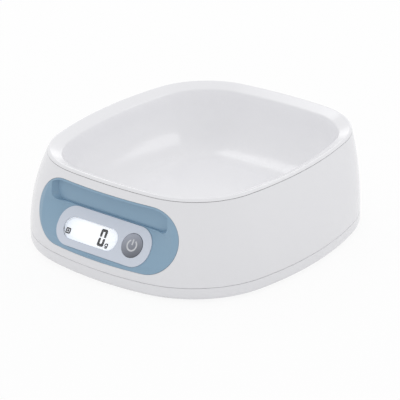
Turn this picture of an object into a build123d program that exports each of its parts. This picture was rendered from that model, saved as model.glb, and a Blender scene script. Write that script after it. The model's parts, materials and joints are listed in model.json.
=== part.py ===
from build123d import *
import os
from math import cos, radians, sin, sqrt, tan

# Digital kitchen scale with a lift-out weighing bowl and a display set into the front wall.
# Millimetres, +Z up, -Y the display side, origin on the table under the middle of the base.

# Outer body: a rounded square whose sides bulge, widest near the table and drawn in at the rim.
BODY_WIDTH = 220.0
BODY_DEPTH = 240.0
BODY_HEIGHT = 73.6
RIM_INSET_X = 16.0         # each side of the rim lies this far inside the base
RIM_INSET_Y = 12.0
RIM_SHIFT = 6.4            # the rim's middle lies this far behind the base's middle
BASE_END_RADIUS = 237.0    # bulge of the front and back at the base
BASE_SIDE_RADIUS = 252.0
BASE_CORNER_RADIUS = 76.0
RIM_END_RADIUS = 375.0
RIM_SIDE_RADIUS = 300.0
RIM_CORNER_RADIUS = 56.0
WIDEST_LEVEL = 7.4         # the wall is upright up to here and then curves in
WALL_CURVE = 2.15          # power of the curve that the wall follows up to the rim
WALL_STEPS = 6

# Casing walls
SHELL_WALL = 2.5
FOOT_STAND = 2.0           # the feet hold the base this far off the table
BASE_FLOOR = 2.5
BASE_EDGE_RADIUS = 3.0
SEAM_LEVEL = 11.6
SEAM_GAP = 0.3             # shadow line between the two casing halves
TONGUE_HEIGHT = 2.0
TONGUE_FIT = 0.15

# Bowl
LIP_WIDTH = 9.3
LIP_ANGLE = 27.0           # the lip falls inwards below the horizontal
LIP_EDGE = 2.4
LIP_CREST = 1.2            # rounding of the lip's outer edge
LIP_ROUND = 2.0            # rounding from the lip into the bowl's wall
LIP_GAP = 0.25             # weighing gap between the lip and the casing
LAND_THICKNESS = 1.9       # casing's ledge under the lip
BOWL_WALL = 2.2
BOWL_FLOOR_LEVEL = 27.0
BOWL_FLOOR_INSET_X = 21.0  # where the straight walls would meet the floor, inside the rim
BOWL_FLOOR_INSET_Y = 22.0
BOWL_FLOOR_END_RADIUS = 300.0
BOWL_FLOOR_SIDE_RADIUS = 260.0
BOWL_FLOOR_CORNER_RADIUS = 46.0
BOWL_FLOOR_ROUND = 24.0

# Well of the casing, which the bowl hangs in without touching
WELL_GAP = 1.2
WELL_WALL = 1.8
WELL_ROUND = 22.0
DECK_THICKNESS = 2.0
DECK_GAP = 1.3             # left under the platform at full load

# Platform and load cell
PLATFORM_WIDTH = 100.0
PLATFORM_DEPTH = 124.0
PLATFORM_CORNER = 22.0
PLATFORM_PLATE = 2.0
PAD_DIAMETER = 16.0
PAD_HEIGHT = 1.3
PAD_SEAT = 0.5
PAD_X = 36.0
PAD_Y = 46.0
RIB_WIDTH = 2.4
RIB_HEIGHT = 0.5
PLATFORM_WINDOW = 20.0     # side of the three lightening windows
PLATFORM_WINDOW_CORNER = 5.0
WEIGH_TRAVEL = 0.2         # how far the platform sinks at full load
CELL_LENGTH = 60.0
CELL_WIDTH = 12.7
CELL_HEIGHT = 10.0
CELL_CLEAR = 2.5           # the beam's free end hangs this far above the base floor
CELL_EYE_DIAMETER = 8.4    # the two joined bores that let the beam bend
CELL_EYE_SPACING = 15.0
CELL_HOLE_DIAMETER = 4.2
CELL_HOLE_OUT = 25.5
CELL_HOLE_IN = 18.5
CELL_SEAT_LENGTH = 17.0
HUB_WIDTH = 12.0
HUB_HOLE_CLEAR = 2.5
HUB_GAP = 0.3              # left over the beam at full load, for its bend
SCREW_DIAMETER = 3.6
SCREW_HEAD_DIAMETER = 6.0
SCREW_HEAD_HEIGHT = 1.6
SCREW_HEAD_FIT = 0.3
SCREW_FIT = 0.25
SCREW_DEPTH = 7.0          # how far the beam's screws reach into it
GAUGE_LENGTH = 24.0
GAUGE_THICKNESS = 0.8

# Casing screws and feet
BOSS_X = 62.0
BOSS_Y = 64.0
BOSS_DIAMETER = 8.4
BOSS_HOLE = 3.0
COUNTERBORE = 6.4
COUNTERBORE_DEPTH = 4.0
BOSS_SCREW_DIAMETER = 2.8
BOSS_SCREW_LENGTH = 12.0
BOSS_SCREW_HEAD = 5.6
BOSS_SCREW_HEAD_HEIGHT = 2.0
FOOT_X = 70.0
FOOT_Y = 86.0
FOOT_DIAMETER = 14.0
FOOT_RECESS = 1.0
FOOT_ROUND = 0.8

# Display set into the front wall
BEZEL_WIDTH = 127.4
BEZEL_FROM_RIM = 8.4       # the bezel's top below the bowl's rim
BEZEL_FROM_SEAM = 6.6
BEZEL_LAND = 1.2           # flush border round the recess
BEZEL_WALL = 2.0
BEZEL_DEPTH = 4.5          # depth of the bezel's border behind the wall's surface
BEZEL_FIT = 0.25
PANEL_TILT = 34.9          # leans back from the upright
PANEL_SETBACK = 8.4        # panel's middle behind the wall's surface
PANEL_FROM_BEZEL = 15.3    # the panel's middle above the bezel's lower edge
PANEL_WIDTH = 84.6
PANEL_HEIGHT = 30.0
PANEL_RADIUS = 13.9
PANEL_THICKNESS = 1.6
PANEL_PROUD = 0.6
PANEL_FIT = 0.15
SEAT_SKIN = 2.8            # bezel's wall behind the panel, measured from the panel plane
POCKET_WIDTH = 101.0       # between its ends, at its back wall
POCKET_FLARE = 0.6         # each end opens by this much per unit of depth towards the front
POCKET_RADIUS = 6.0
POCKET_ABOVE = 0.8         # the pocket's floor lies this far above the panel's top edge
POCKET_STEP = 1.0          # depth of the step between the panel and the pocket's back wall
POCKET_WELL_GAP = 0.6
WINDOW_X = -11.5
WINDOW_UP = -1.3
WINDOW_WIDTH = 48.7
WINDOW_HEIGHT = 16.4
WINDOW_RADIUS = 7.8
WINDOW_SUNK = 0.6
WINDOW_FLANGE = 1.0
WINDOW_FLANGE_DEPTH = 0.8
LCD_THICKNESS = 2.3
LCD_MARGIN = 1.0
LCD_LEDGE = 2.0            # rear glass shows this far below the front glass
BACKLIGHT_THICKNESS = 2.4
ZEBRA_WIDTH = 2.0
ZEBRA_GAP = 0.3
BUTTON_X = 26.4
BUTTON_DIAMETER = 17.5
BUTTON_PROUD = 0.4
BUTTON_FIT = 0.3
BUTTON_FLANGE = 1.2
BUTTON_TRAVEL = 0.6
BUTTON_POST = 5.0
BOARD_WIDTH = 84.4
BOARD_HEIGHT = 25.4
BOARD_THICKNESS = 1.6
BOARD_CORNER = 4.0
BOARD_POST_X = 39.6
BOARD_POST_UP = 5.0
BOARD_POST_DIAMETER = 4.6
BOARD_SCREW_DIAMETER = 2.0
BOARD_SCREW_LENGTH = 4.5
BOARD_SCREW_HEAD = 4.0
BOARD_SCREW_HEAD_HEIGHT = 1.4
CHIP_DIAMETER = 9.0
CHIP_HEIGHT = 1.2
CHIP_ROUND = 0.8
CHIP_X = -14.0
SOCKET_X = 16.0
SOCKET_SIZE = (10.0, 5.0, 4.5)
SWITCH_SIZE = 6.0
SWITCH_HEIGHT = 3.1
PLUNGER_DIAMETER = 3.4
PLUNGER_DEPTH = 1.7
PLUNGER_FIT = 0.3

# Battery compartment for three AAA cells, opened from below
CELLS = 3
AAA_DIAMETER = 10.5
AAA_LENGTH = 44.5
AAA_SPACING = 11.2
AAA_LEVEL = 5.4            # underside of the cells
BATTERY_Y = 46.0
SPRING_ROOM = 5.0          # bowed leaf spring behind each cell's flat end
SPRING_SPAN = 8.0
SPRING_WIDTH = 5.0
NUB_DIAMETER = 3.8
NUB_LENGTH = 1.0
CONTACT_THICKNESS = 0.4
CONTACT_WIDTH = 9.0
CONTACT_HEIGHT = 9.6
BOX_WALL = 1.5
BOX_LEVEL = 16.4           # inside of the compartment's ceiling
DOOR_THICKNESS = 1.8
DOOR_GAP = 0.4
DOOR_TAB_LENGTH = 2.0
DOOR_TAB_WIDTH = 8.0
DOOR_TAB_THICKNESS = 1.3
DOOR_TAB_GAP = 0.25
DOOR_RIB_GAP = 0.2
DOOR_RIB_X = 14.0
DOOR_GRIP_WIDTH = 14.0
DOOR_GRIP_LINES = 3
DOOR_GRIP_PITCH = 2.2
DOOR_GRIP_DEPTH = 0.5

CUT = 1.0                  # how far a cutting shape runs past the face that it cuts
EDGE_REACH = 1.5           # an edge counts as lying at a level within this distance

PARTS = "parts"

# Worked-out sizes and levels
RIM_WIDTH = BODY_WIDTH - 2 * RIM_INSET_X
RIM_DEPTH = BODY_DEPTH - 2 * RIM_INSET_Y
BOWL_FLOOR_WIDTH = RIM_WIDTH - 2 * BOWL_FLOOR_INSET_X
BOWL_FLOOR_DEPTH = RIM_DEPTH - 2 * BOWL_FLOOR_INSET_Y
LIP_SLOPE = tan(radians(LIP_ANGLE))
LIP_LOW = BODY_HEIGHT - LIP_WIDTH * LIP_SLOPE
CASING_EDGE = BODY_HEIGHT - LIP_EDGE - LIP_GAP
BASE_TOP = FOOT_STAND + BASE_FLOOR
BOWL_BOTTOM = BOWL_FLOOR_LEVEL - BOWL_WALL
PLATFORM_TOP = BOWL_BOTTOM - PAD_HEIGHT + PAD_SEAT
PLATFORM_LEVEL = PLATFORM_TOP - PLATFORM_PLATE
DECK_LEVEL = PLATFORM_LEVEL - WEIGH_TRAVEL - DECK_GAP
CELL_LEVEL = BASE_TOP + CELL_CLEAR
CELL_TOP = CELL_LEVEL + CELL_HEIGHT
HUB_X = (CELL_HOLE_OUT + CELL_HOLE_IN) / 2
WELL_OUTSIDE = BOWL_WALL + WELL_GAP + WELL_WALL
BEZEL_LOW = SEAM_LEVEL + BEZEL_FROM_SEAM
BEZEL_HIGH = BODY_HEIGHT - BEZEL_FROM_RIM
BEZEL_HEIGHT = BEZEL_HIGH - BEZEL_LOW
BEZEL_LEVEL = (BEZEL_LOW + BEZEL_HIGH) / 2
PANEL_LEVEL = BEZEL_LOW + PANEL_FROM_BEZEL

# Depths of the display, measured outwards from the panel's plane
PANEL_BACK = PANEL_PROUD - PANEL_THICKNESS
BOARD_FRONT = -SEAT_SKIN - LCD_THICKNESS - BACKLIGHT_THICKNESS
BOARD_BACK = BOARD_FRONT - BOARD_THICKNESS
SWITCH_TOP = BOARD_FRONT + SWITCH_HEIGHT
POST_END = SWITCH_TOP + BUTTON_TRAVEL + PLUNGER_FIT
FLANGE_BACK = PANEL_BACK - BUTTON_FLANGE


def between(start, end, share):
    return start + (end - start) * share


def bulged_outline(half_x, half_y, end_radius, side_radius, corner_radius, level, shift):
    """Face of eight tangent arcs: four bulged sides and four rounder corners."""
    end_centre = Vector(0, half_y - end_radius)
    side_centre = Vector(half_x - side_radius, 0)
    to_end = end_radius - corner_radius
    to_side = side_radius - corner_radius
    span = side_centre - end_centre
    along = (to_end**2 - to_side**2 + span.length**2) / (2 * span.length)
    across = sqrt(to_end**2 - along**2)
    direction = span.normalized()
    corner = end_centre + direction * along + Vector(direction.Y, -direction.X) * across
    on_end = end_centre + (corner - end_centre).normalized() * end_radius
    on_side = side_centre + (corner - side_centre).normalized() * side_radius
    outward = (on_end + on_side) * 0.5 - corner
    on_corner = corner + outward.normalized() * corner_radius

    def at(point, x_sign, y_sign):
        return (point.X * x_sign, point.Y * y_sign + shift, level)

    edges = []
    for x_sign, y_sign in ((1, 1), (-1, 1), (-1, -1), (1, -1)):
        corner_start = at(on_side, x_sign, y_sign)
        corner_end = at(on_end, x_sign, y_sign)
        if x_sign * y_sign < 0:
            corner_start, corner_end = corner_end, corner_start
        edges.append(ThreePointArc(corner_start, at(on_corner, x_sign, y_sign), corner_end))
        if x_sign * y_sign > 0:
            far = at(on_end, -x_sign, y_sign)
            middle = (0, half_y * y_sign + shift, level)
        else:
            far = at(on_side, x_sign, -y_sign)
            middle = (half_x * x_sign, shift, level)
        edges.append(ThreePointArc(corner_end, middle, far))
    return make_face(Wire(edges))


def wall_curve(level):
    """How far the wall has moved from the base outline, 0, to the rim outline, 1."""
    rise = (level - WIDEST_LEVEL) / (BODY_HEIGHT - WIDEST_LEVEL)
    return max(0.0, rise) ** WALL_CURVE


def wall_outline(level, inset=0.0, drawn_at=None):
    """Outline of the outer wall at one level, moved in by inset."""
    share = wall_curve(level)
    return bulged_outline(
        between(BODY_WIDTH, RIM_WIDTH, share) / 2 - inset,
        between(BODY_DEPTH, RIM_DEPTH, share) / 2 - inset,
        between(BASE_END_RADIUS, RIM_END_RADIUS, share) - inset,
        between(BASE_SIDE_RADIUS, RIM_SIDE_RADIUS, share) - inset,
        between(BASE_CORNER_RADIUS, RIM_CORNER_RADIUS, share) - inset,
        level if drawn_at is None else drawn_at,
        RIM_SHIFT * share,
    )


def wall_front(x, level):
    """Y of the outer wall's front face at x."""
    share = wall_curve(level)
    half_depth = between(BODY_DEPTH, RIM_DEPTH, share) / 2
    radius = between(BASE_END_RADIUS, RIM_END_RADIUS, share)
    return RIM_SHIFT * share - half_depth + radius - sqrt(radius**2 - x**2)


def wall_solid(bottom, top, inset=0.0):
    """Everything inside the outer wall between two levels, moved in by inset."""
    levels = [between(bottom, top, step / WALL_STEPS) for step in range(WALL_STEPS + 1)]
    return loft([wall_outline(level, inset) for level in levels])


def lip_funnel(edge_level):
    """Everything above the sloping surface that starts at the wall at edge_level."""
    inside = BODY_HEIGHT / 2
    outside = LIP_WIDTH
    low = wall_outline(edge_level, inside, edge_level - inside * LIP_SLOPE)
    high = wall_outline(edge_level, -outside, edge_level + outside * LIP_SLOPE)
    return loft([low, high], ruled=True)


def basin_share(level):
    """How far the basin has opened from its floor, 0, to the lip's inner edge, 1."""
    return (level - BOWL_FLOOR_LEVEL) / (LIP_LOW - BOWL_FLOOR_LEVEL)


def basin_front(level, grow):
    """Y of the basin's front wall."""
    depth = between(BOWL_FLOOR_DEPTH / 2, RIM_DEPTH / 2 - LIP_WIDTH, basin_share(level))
    return RIM_SHIFT - depth - grow


def basin_outline(level, grow):
    share = basin_share(level)
    return bulged_outline(
        between(BOWL_FLOOR_WIDTH / 2, RIM_WIDTH / 2 - LIP_WIDTH, share) + grow,
        between(BOWL_FLOOR_DEPTH / 2, RIM_DEPTH / 2 - LIP_WIDTH, share) + grow,
        between(BOWL_FLOOR_END_RADIUS, RIM_END_RADIUS - LIP_WIDTH, share) + grow,
        between(BOWL_FLOOR_SIDE_RADIUS, RIM_SIDE_RADIUS - LIP_WIDTH, share) + grow,
        between(BOWL_FLOOR_CORNER_RADIUS, RIM_CORNER_RADIUS - LIP_WIDTH, share) + grow,
        level,
        RIM_SHIFT,
    )


def basin(floor_level, grow, floor_round):
    """The bowl's inside, or a larger copy of it, from its floor to above the rim."""
    top = BODY_HEIGHT + CUT
    solid = loft([basin_outline(floor_level, grow), basin_outline(top, grow)], ruled=True)
    return fillet(solid.faces().sort_by(Axis.Z)[0].edges(), floor_round)


def disc(x, y, bottom, top, diameter):
    """Upright cylinder between two levels."""
    shape = Cylinder(diameter / 2, top - bottom, align=(Align.CENTER, Align.CENTER, Align.MIN))
    return Pos(x, y, bottom) * shape


def block(x_range, y_range, z_range):
    sizes = [end - start for start, end in (x_range, y_range, z_range)]
    corner = Pos(x_range[0], y_range[0], z_range[0])
    return corner * Box(*sizes, align=(Align.MIN, Align.MIN, Align.MIN))


def corners(x, y):
    return [(-x, -y), (x, -y), (x, y), (-x, y)]


def single(shape):
    """The one solid that a piece has to be."""
    solids = shape.solids()
    if len(solids) != 1:
        raise ValueError(f"the piece came out as {len(solids)} solids")
    return solids[0]


def group(shapes):
    return Compound(children=[solid for shape in shapes for solid in shape.solids()])


def edges_at(shape, level):
    """Edges that run about level at one height."""
    found = []
    for edge in shape.edges():
        box = edge.bounding_box()
        if max(box.max.Z - level, level - box.min.Z) < EDGE_REACH:
            found.append(edge)
    return found


def weighing_bowl():
    lip_under = BODY_HEIGHT - LIP_EDGE
    lip = wall_solid(BOWL_FLOOR_LEVEL, BODY_HEIGHT) & lip_funnel(lip_under)
    shell = lip + basin(BOWL_BOTTOM, BOWL_WALL, BOWL_FLOOR_ROUND + BOWL_WALL)
    shell -= lip_funnel(BODY_HEIGHT)
    shell -= basin(BOWL_FLOOR_LEVEL, 0.0, BOWL_FLOOR_ROUND)
    shell = single(shell)
    shell = fillet(edges_at(shell, LIP_LOW), LIP_ROUND)
    return single(fillet(edges_at(shell, BODY_HEIGHT), LIP_CREST))


def bosses(bottom, top, diameter):
    """Upright cylinders at the four places of the casing screws."""
    places = [(x, y + RIM_SHIFT) for x, y in corners(BOSS_X, BOSS_Y)]
    return [disc(x, y, bottom, top, diameter) for x, y in places]


def upper_housing():
    outside = wall_solid(SEAM_LEVEL, CASING_EDGE) - lip_funnel(CASING_EDGE)
    hollow = wall_solid(SEAM_LEVEL - CUT, CASING_EDGE - CUT, SHELL_WALL)
    hollow -= lip_funnel(CASING_EDGE - LAND_THICKNESS)
    well = basin(DECK_LEVEL - DECK_THICKNESS, WELL_OUTSIDE, WELL_ROUND + WELL_WALL)
    shell = outside - hollow + (well & outside)
    for boss in bosses(SEAM_LEVEL, DECK_LEVEL + WELL_ROUND, BOSS_DIAMETER):
        shell += boss
    shell -= basin(DECK_LEVEL, BOWL_WALL + WELL_GAP, WELL_ROUND)
    for hole in bosses(SEAM_LEVEL - CUT, DECK_LEVEL - DECK_THICKNESS, BOSS_HOLE):
        shell -= hole
    shell -= hub_hole()
    shell -= bezel_opening()
    shell -= tongue_ring(TONGUE_FIT)
    return single(shell)


def hub_hole():
    length = CELL_HOLE_OUT - CELL_HOLE_IN + HUB_WIDTH + 2 * HUB_HOLE_CLEAR
    sketch = Pos(HUB_X, 0) * SlotOverall(length, HUB_WIDTH + 2 * HUB_HOLE_CLEAR)
    return Pos(0, 0, DECK_LEVEL - DECK_THICKNESS - CUT) * extrude(sketch, DECK_THICKNESS + 2 * CUT)


def tongue_ring(fit):
    """Lip of the base that locates the upper housing, or with fit its groove."""
    outer = wall_outline(SEAM_LEVEL, SHELL_WALL / 2 - fit)
    inner = wall_outline(SEAM_LEVEL, SHELL_WALL + fit)
    return Pos(0, 0, -CUT) * extrude(outer - inner, TONGUE_HEIGHT + fit + CUT)


def base_tray():
    blank = extrude(wall_outline(FOOT_STAND), SEAM_LEVEL - SEAM_GAP - FOOT_STAND)
    blank = fillet(blank.faces().sort_by(Axis.Z)[0].edges(), BASE_EDGE_RADIUS)
    shell = blank - extrude(wall_outline(FOOT_STAND, SHELL_WALL, BASE_TOP), SEAM_LEVEL)
    shell += tongue_ring(0.0)
    for boss in bosses(BASE_TOP - CUT, SEAM_LEVEL, BOSS_DIAMETER):
        shell += boss
    half_width = CELL_WIDTH / 2 + BOX_WALL
    seat_x = (-CELL_LENGTH / 2 - BOX_WALL, -CELL_LENGTH / 2 + CELL_SEAT_LENGTH)
    shell += block(seat_x, (-half_width, half_width), (BASE_TOP - CUT, CELL_LEVEL))
    shell += battery_box()
    for hole in bosses(FOOT_STAND - CUT, SEAM_LEVEL + CUT, BOSS_HOLE + SCREW_FIT):
        shell -= hole
    for bore in bosses(FOOT_STAND - CUT, FOOT_STAND + COUNTERBORE_DEPTH, COUNTERBORE):
        shell -= bore
    for x in (-CELL_HOLE_OUT, -CELL_HOLE_IN):
        shell -= disc(x, 0, FOOT_STAND - CUT, CELL_LEVEL + CUT, SCREW_DIAMETER + SCREW_FIT)
        head_room = SCREW_HEAD_HEIGHT + SCREW_HEAD_FIT
        head_width = SCREW_HEAD_DIAMETER + 2 * SCREW_HEAD_FIT
        shell -= disc(x, 0, FOOT_STAND - CUT, FOOT_STAND + head_room, head_width)
    for x, y in corners(FOOT_X, FOOT_Y):
        shell -= disc(x, y, FOOT_STAND - CUT, FOOT_STAND + FOOT_RECESS, FOOT_DIAMETER)
    shell -= door_opening()
    return single(shell)


def box_x():
    half = (AAA_LENGTH + SPRING_ROOM) / 2 + CONTACT_THICKNESS
    return (-half, half)


def box_y():
    half = ((CELLS - 1) * AAA_SPACING + AAA_DIAMETER) / 2 + DOOR_GAP
    return (BATTERY_Y - half, BATTERY_Y + half + DOOR_TAB_LENGTH + DOOR_GAP)


def door_x():
    start, end = box_x()
    return (start + DOOR_GAP, end - DOOR_GAP)


def door_y():
    start, end = box_y()
    return (start + DOOR_GAP, end - DOOR_TAB_LENGTH - DOOR_GAP)


def battery_box():
    """Open-bottomed box that stands on the base floor round the cells."""
    x_range, y_range = box_x(), box_y()
    outside_x = (x_range[0] - BOX_WALL, x_range[1] + BOX_WALL)
    outside_y = (y_range[0] - BOX_WALL, y_range[1] + BOX_WALL)
    outside = block(outside_x, outside_y, (BASE_TOP - CUT, BOX_LEVEL + BOX_WALL))
    return outside - block(x_range, y_range, (BASE_TOP, BOX_LEVEL))


def door_opening():
    x_range, y_range = door_x(), door_y()
    x_range = (x_range[0] - DOOR_GAP, x_range[1] + DOOR_GAP)
    y_range = (y_range[0] - DOOR_GAP, y_range[1] + DOOR_GAP)
    return block(x_range, y_range, (FOOT_STAND - CUT, BASE_TOP + CUT))


def battery_door():
    x_range, y_range = door_x(), door_y()
    plate = block(x_range, y_range, (FOOT_STAND, FOOT_STAND + DOOR_THICKNESS))
    plate = fillet(plate.edges().filter_by(Axis.Z), DOOR_TAB_THICKNESS)
    rear = y_range[1]
    tab_level = BASE_TOP + DOOR_TAB_GAP
    tab_top = tab_level + DOOR_TAB_THICKNESS
    for side in (-1, 1):
        middle = side * (x_range[1] - x_range[0]) / 4
        tab_x = (middle - DOOR_TAB_WIDTH / 2, middle + DOOR_TAB_WIDTH / 2)
        riser = block(tab_x, (rear - DOOR_TAB_THICKNESS, rear), (FOOT_STAND + CUT, tab_top))
        plate += riser
        plate += block(tab_x, (rear - CUT, rear + DOOR_TAB_LENGTH), (tab_level, tab_top))
        rib_x = (side * DOOR_RIB_X - BOX_WALL / 2, side * DOOR_RIB_X + BOX_WALL / 2)
        rib_y = (y_range[0] + 2 * DOOR_GAP, rear - DOOR_TAB_THICKNESS - DOOR_GAP)
        plate += block(rib_x, rib_y, (FOOT_STAND + CUT, AAA_LEVEL - DOOR_RIB_GAP))
    latch_x = (-DOOR_TAB_WIDTH / 2, DOOR_TAB_WIDTH / 2)
    latch_y = (y_range[0] + DOOR_GAP, y_range[0] + DOOR_GAP + DOOR_TAB_THICKNESS)
    plate += block(latch_x, latch_y, (FOOT_STAND + CUT, tab_top))
    for line in range(DOOR_GRIP_LINES):
        y = y_range[0] + (line + 2) * DOOR_GRIP_PITCH
        groove = SlotOverall(DOOR_GRIP_WIDTH, DOOR_GRIP_PITCH / 2)
        cutter = extrude(groove, DOOR_GRIP_DEPTH + CUT)
        plate -= Pos(0, y, FOOT_STAND - CUT) * cutter
    return single(plate)


def in_panel_frame(shape):
    """Moves a shape drawn flat, with z outwards, onto the tilted display."""
    tilt = radians(PANEL_TILT)
    middle = (0, wall_front(0, PANEL_LEVEL) + PANEL_SETBACK, PANEL_LEVEL)
    return Plane(middle, x_dir=(1, 0, 0), z_dir=(0, -cos(tilt), sin(tilt))) * shape


def slab(sketch, back, front):
    """Drawn shape given a thickness between two depths of the display."""
    return Pos(0, 0, back) * extrude(sketch, front - back)


def panel_plane(level):
    """Y of the display's plane at a level."""
    middle = wall_front(0, PANEL_LEVEL) + PANEL_SETBACK
    return middle + (level - PANEL_LEVEL) * tan(radians(PANEL_TILT))


def stadium(width, height):
    return SlotOverall(width, height)


def bezel_prism(grow, back=0.0):
    """The bezel's outline run through the front wall."""
    sketch = stadium(BEZEL_WIDTH + 2 * grow, BEZEL_HEIGHT + 2 * grow)
    front = -BODY_DEPTH / 2 - 2 * CUT
    end = wall_front(0, BEZEL_HIGH) + BEZEL_DEPTH + back
    plane = Plane((0, front, BEZEL_LEVEL), x_dir=(1, 0, 0), z_dir=(0, 1, 0))
    return plane * extrude(sketch, end - front)


def bezel_opening():
    """Hole in the front wall for the bezel, no deeper than the bezel's border."""
    inside = wall_solid(SEAM_LEVEL, CASING_EDGE, BEZEL_DEPTH + BEZEL_FIT)
    return bezel_prism(BEZEL_FIT, PANEL_SETBACK) - inside


def recess(grow):
    """Room in front of the display's surface, drawn as slices across the bezel."""
    low = BEZEL_LOW - CUT
    high = BEZEL_HIGH + CUT
    tilt = radians(PANEL_TILT)
    panel_top = PANEL_LEVEL + PANEL_HEIGHT / 2 * cos(tilt)
    edge_x = BEZEL_WIDTH / 2 - BEZEL_LAND + grow
    front = -BODY_DEPTH / 2 - 2 * CUT
    deeper = grow / cos(tilt)
    slices = []
    for x in (-edge_x, -PANEL_WIDTH / 2 - PANEL_FIT, PANEL_WIDTH / 2 + PANEL_FIT, edge_x):
        if abs(x) == edge_x:
            depths = [wall_front(x, level) for level in (low, panel_top, high)]
        else:
            upper = wall_front(0, high)
            depths = [panel_plane(low), panel_plane(panel_top), upper]
        depths = [depth + deeper for depth in depths]
        outline = [(front, low), (depths[0], low), (depths[1], panel_top), (depths[2], high)]
        outline.append((front, high))
        points = [(x, y, z) for y, z in outline]
        slices.append(make_face(Polyline(*points, close=True)))
    return loft(slices, ruled=True)


def pocket(grow):
    """Finger pocket above the panel; its back leans with the well, its ceiling with the lip."""
    tilt = radians(PANEL_TILT)
    low = PANEL_LEVEL + PANEL_HEIGHT / 2 * cos(tilt) + POCKET_ABOVE
    high = BEZEL_HIGH - BEZEL_LAND
    wall = wall_front(POCKET_WIDTH / 2, high)
    front = -BODY_DEPTH / 2 - 2 * CUT
    back_low = panel_plane(low) + POCKET_STEP + grow
    back_high = basin_front(high, WELL_OUTSIDE) - POCKET_WELL_GAP - BEZEL_WALL + grow
    outline = [
        (front, low - grow),
        (back_low, low - grow),
        (back_high, high + grow - (back_high - wall) * LIP_SLOPE),
        (front, high + grow + (wall - front) * LIP_SLOPE),
    ]
    half = BEZEL_WIDTH / 2
    side = make_face(Polyline(*[(-half, y, z) for y, z in outline], close=True))
    height = 2 * (high - low)
    slices = []
    for y in (front, back_high + CUT):
        width = POCKET_WIDTH + 2 * grow + 2 * (back_low - y) * POCKET_FLARE
        plane = Plane((0, y, low - grow), x_dir=(1, 0, 0), z_dir=(0, 1, 0))
        face = RectangleRounded(width, height, POCKET_RADIUS + grow).face()
        slices.append(plane * Pos(0, -height / 2) * face)
    return extrude(side, 2 * half, dir=(1, 0, 0)) & loft(slices, ruled=True)


def display_bezel():
    body = wall_solid(SEAM_LEVEL, CASING_EDGE)
    reach = BEZEL_DEPTH + SEAT_SKIN + PANEL_SETBACK
    mouth = bezel_prism(-BEZEL_LAND, reach)
    front_room = mouth & (recess(0.0) + pocket(0.0))
    back_room = wall_solid(SEAM_LEVEL - CUT, CASING_EDGE + CUT, BEZEL_DEPTH)
    back_room -= recess(SEAT_SKIN)
    back_room -= pocket(BEZEL_WALL)
    shell = (bezel_prism(0.0, reach) & body) - front_room - back_room
    for x, up in corners(BOARD_POST_X, BOARD_POST_UP):
        post = slab(Pos(x, up) * Circle(BOARD_POST_DIAMETER / 2), BOARD_FRONT, -SEAT_SKIN / 2)
        shell += in_panel_frame(post)
    shell -= in_panel_frame(slab(panel_sketch(PANEL_FIT), PANEL_BACK, PANEL_SETBACK))
    shell -= in_panel_frame(slab(window_sketch(WINDOW_FLANGE + PANEL_FIT), BOARD_FRONT, 0))
    shell -= in_panel_frame(slab(lcd_sketch(PANEL_FIT), BOARD_FRONT, -SEAT_SKIN))
    button_room = BUTTON_DIAMETER / 2 + BUTTON_FLANGE + BUTTON_FIT
    shell -= in_panel_frame(slab(Pos(BUTTON_X, 0) * Circle(button_room), BOARD_FRONT, 0))
    for x, up in corners(BOARD_POST_X, BOARD_POST_UP):
        hole = Pos(x, up) * Circle(BOARD_SCREW_DIAMETER / 2)
        depth = BOARD_SCREW_LENGTH - BOARD_THICKNESS
        shell -= in_panel_frame(slab(hole, BOARD_FRONT - CUT, BOARD_FRONT + depth))
    return single(shell)


def panel_sketch(grow):
    width = PANEL_WIDTH + 2 * grow
    return RectangleRounded(width, PANEL_HEIGHT + 2 * grow, PANEL_RADIUS + grow)


def window_sketch(grow):
    width, height = WINDOW_WIDTH + 2 * grow, WINDOW_HEIGHT + 2 * grow
    return Pos(WINDOW_X, WINDOW_UP) * RectangleRounded(width, height, WINDOW_RADIUS + grow)


def display_panel():
    sketch = panel_sketch(0.0) - window_sketch(0.0)
    sketch -= Pos(BUTTON_X, 0) * Circle(BUTTON_DIAMETER / 2 + BUTTON_FIT)
    return in_panel_frame(single(slab(sketch, PANEL_BACK, PANEL_PROUD)))


def lcd_window():
    """Clear lens: its front fills the panel's opening, its flange sits behind the panel."""
    front = slab(window_sketch(-PANEL_FIT), PANEL_BACK, PANEL_PROUD - WINDOW_SUNK)
    flange = slab(window_sketch(WINDOW_FLANGE), PANEL_BACK - WINDOW_FLANGE_DEPTH, PANEL_BACK)
    return in_panel_frame(single(front + flange))


def lcd_size():
    return WINDOW_WIDTH + 2 * LCD_MARGIN, WINDOW_HEIGHT + 2 * LCD_MARGIN


def lcd_sketch(grow):
    width, height = lcd_size()
    return Pos(WINDOW_X, WINDOW_UP) * Rectangle(width + 2 * grow, height + 2 * grow)


def lcd_glass():
    """Two glass plates; the rear one stands out below as the contact ledge."""
    width, height = lcd_size()
    middle = -SEAT_SKIN - LCD_THICKNESS / 2
    front = Pos(WINDOW_X, WINDOW_UP + LCD_LEDGE / 2) * Rectangle(width, height - LCD_LEDGE)
    plates = slab(lcd_sketch(0.0), -SEAT_SKIN - LCD_THICKNESS, middle)
    plates += slab(front, middle, -SEAT_SKIN)
    return in_panel_frame(single(plates))


def lcd_backlight():
    width, height = lcd_size()
    ledge = ZEBRA_WIDTH + 2 * ZEBRA_GAP
    sketch = Pos(WINDOW_X, WINDOW_UP + ledge / 2) * Rectangle(width, height - ledge)
    return in_panel_frame(single(slab(sketch, BOARD_FRONT, BOARD_FRONT + BACKLIGHT_THICKNESS)))


def zebra_strip():
    """Striped rubber strip that joins the glass to the board."""
    width, height = lcd_size()
    up = WINDOW_UP - height / 2 + ZEBRA_GAP + ZEBRA_WIDTH / 2
    sketch = Pos(WINDOW_X, up) * Rectangle(width - 2 * ZEBRA_WIDTH, ZEBRA_WIDTH)
    return in_panel_frame(single(slab(sketch, BOARD_FRONT, BOARD_FRONT + BACKLIGHT_THICKNESS)))


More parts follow.
